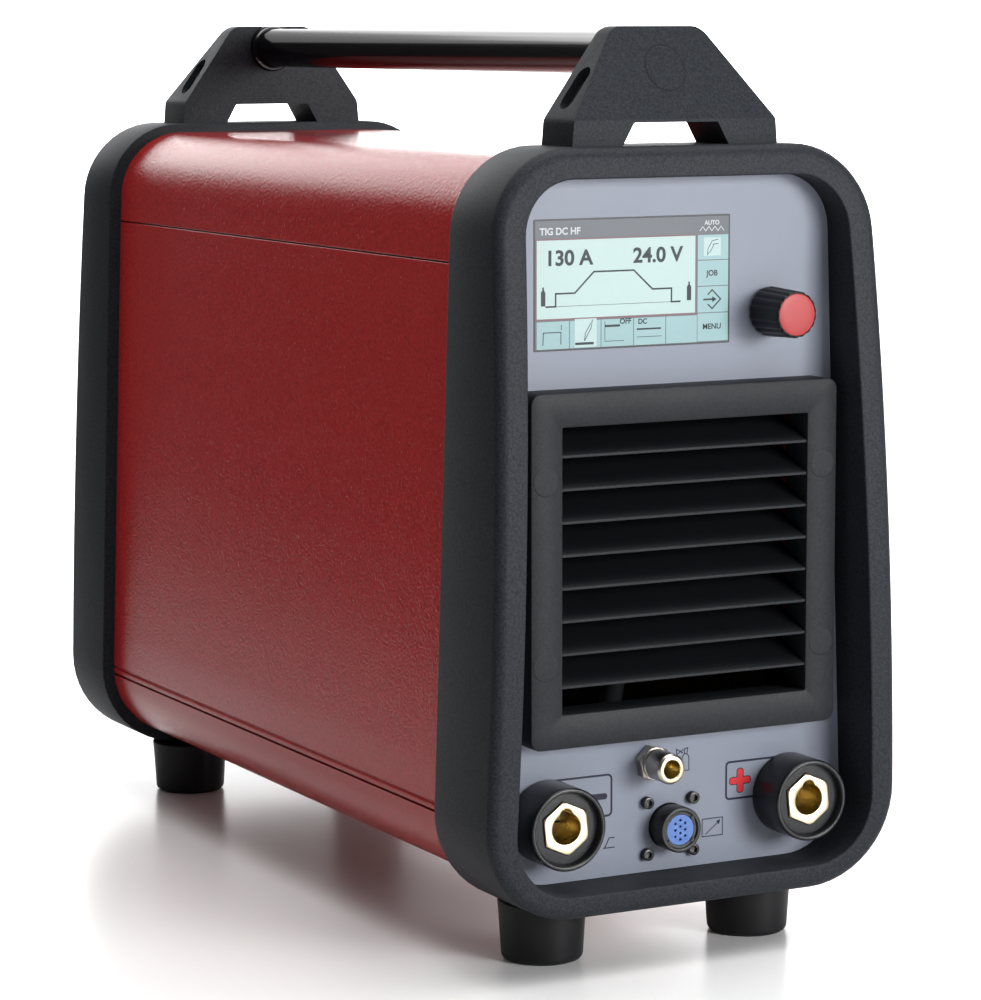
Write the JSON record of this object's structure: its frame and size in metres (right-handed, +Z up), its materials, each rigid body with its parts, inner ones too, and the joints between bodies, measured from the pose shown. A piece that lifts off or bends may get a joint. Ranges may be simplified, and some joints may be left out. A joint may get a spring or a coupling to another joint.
{
  "type": "tig welder",
  "caption": "Portable inverter TIG welding power source: tapered case between two bowed end frames, with handle bar, colour display, rotary knob, louvre grille, sockets and gas outlet.",
  "frame": {"origin": "on the floor under the middle of the case, halfway along and across", "axes": "+X to the right seen from the front, +Y from the front panel to the back, +Z up"},
  "size_m": [0.207, 0.4944, 0.41],
  "materials": {
    "case_plastic": "fine-grained satin",
    "grille_plastic": "fine-grained satin",
    "red_paint": "coarse textured powder coat",
    "foot_rubber": "matt",
    "zinc_steel": "zinc plated",
    "bar_black": "gloss",
    "panel_grey": "printed satin foil on sheet",
    "rear_panel_paint": "satin",
    "display_glass": "gloss",
    "display_case": "satin",
    "board_green": "satin",
    "encoder_metal": "satin",
    "brass": "polished",
    "nickel": "polished",
    "knob_black": "satin",
    "knob_red": "satin",
    "socket_black": "semi-gloss",
    "insert_blue": "satin",
    "screw_black": "black oxide",
    "switch_black": "satin",
    "switch_red": "satin",
    "fan_black": "satin",
    "sink_aluminium": "extruded",
    "module_black": "satin",
    "capacitor_blue": "sleeved",
    "core_iron": "laminated",
    "copper": "enamelled copper",
    "ignition_red": "potted",
    "hose_black": "matt"
  },
  "bodies": {
    "case": {"front_frame": "case_plastic", "rear_frame": "case_plastic", "top_cover": "red_paint", "left_side_panel": "red_paint", "right_side_panel": "red_paint", "bottom_tray": "red_paint", "foot_front_left": "foot_rubber", "foot_front_right": "foot_rubber", "foot_rear_left": "foot_rubber", "foot_rear_right": "foot_rubber", "foot_screws": "zinc_steel", "handle_bracket_front": "case_plastic", "handle_bracket_rear": "case_plastic", "handle_bar": "bar_black", "handle_plugs": "case_plastic", "handle_screws": "zinc_steel", "front_panel": "panel_grey", "display_glass": "display_glass", "display_module": "display_case", "display_board": "board_green", "encoder_body": "encoder_metal", "encoder_nut": "brass", "front_grille": "grille_plastic", "negative_socket_body": "socket_black", "negative_contact": "brass", "positive_socket_body": "socket_black", "positive_contact": "brass", "socket_nuts": "socket_black", "gas_outlet": "nickel", "remote_shell": "socket_black", "remote_insert": "insert_blue", "remote_screws": "screw_black", "rear_panel": "rear_panel_paint", "rear_grille": "grille_plastic", "rear_screws": "zinc_steel", "mains_switch_body": "switch_black", "cable_gland": "socket_black", "gas_inlet": "brass", "chassis_plate": "zinc_steel", "wind_tunnel": "zinc_steel", "fan_frame": "fan_black", "heat_sink": "sink_aluminium", "power_modules": "module_black", "power_board": "board_green", "bulk_capacitors": "capacitor_blue", "control_board": "board_green", "transformer_core": "core_iron", "transformer_winding": "copper", "output_inductor": "copper", "ignition_unit": "ignition_red", "busbars": "copper", "valve_body": "brass", "gas_hose": "hose_black"},
    "knob_push": {"encoder_plunger": "encoder_metal"},
    "knob_turn": {"encoder_shaft": "encoder_metal", "control_knob": "knob_black", "knob_cap": "knob_red"},
    "mains_switch": {"mains_switch_knob": "switch_red"},
    "fan": {"fan_rotor": "fan_black"},
    "valve": {"valve_plunger": "encoder_metal"}
  },
  "joints": [
    {"name": "knob_press", "type": "slide", "parent": "case", "child": "knob_push", "axis": [0, 1, 0], "range_m": [0, 0.0008], "stiffness_N_per_m": 2000, "springref_m": -0.0005},
    {"name": "knob_rotate", "type": "hinge", "parent": "knob_push", "child": "knob_turn", "pos_m": [0.0502, -0.21915, 0.2848], "axis": [0, 1, 0], "continuous": true},
    {"name": "mains_switch_turn", "type": "hinge", "parent": "case", "child": "mains_switch", "pos_m": [-0.038, 0.2209, 0.3], "axis": [0, -1, 0], "range_deg": [0, 90]},
    {"name": "fan_spin", "type": "hinge", "parent": "case", "child": "fan", "pos_m": [0, 0.2059, 0.178], "axis": [0, 1, 0], "continuous": true},
    {"name": "valve_lift", "type": "slide", "parent": "case", "child": "valve", "axis": [0, 0, 1], "range_m": [0, 0.0018], "stiffness_N_per_m": 400, "springref_m": -0.001}
  ]
}
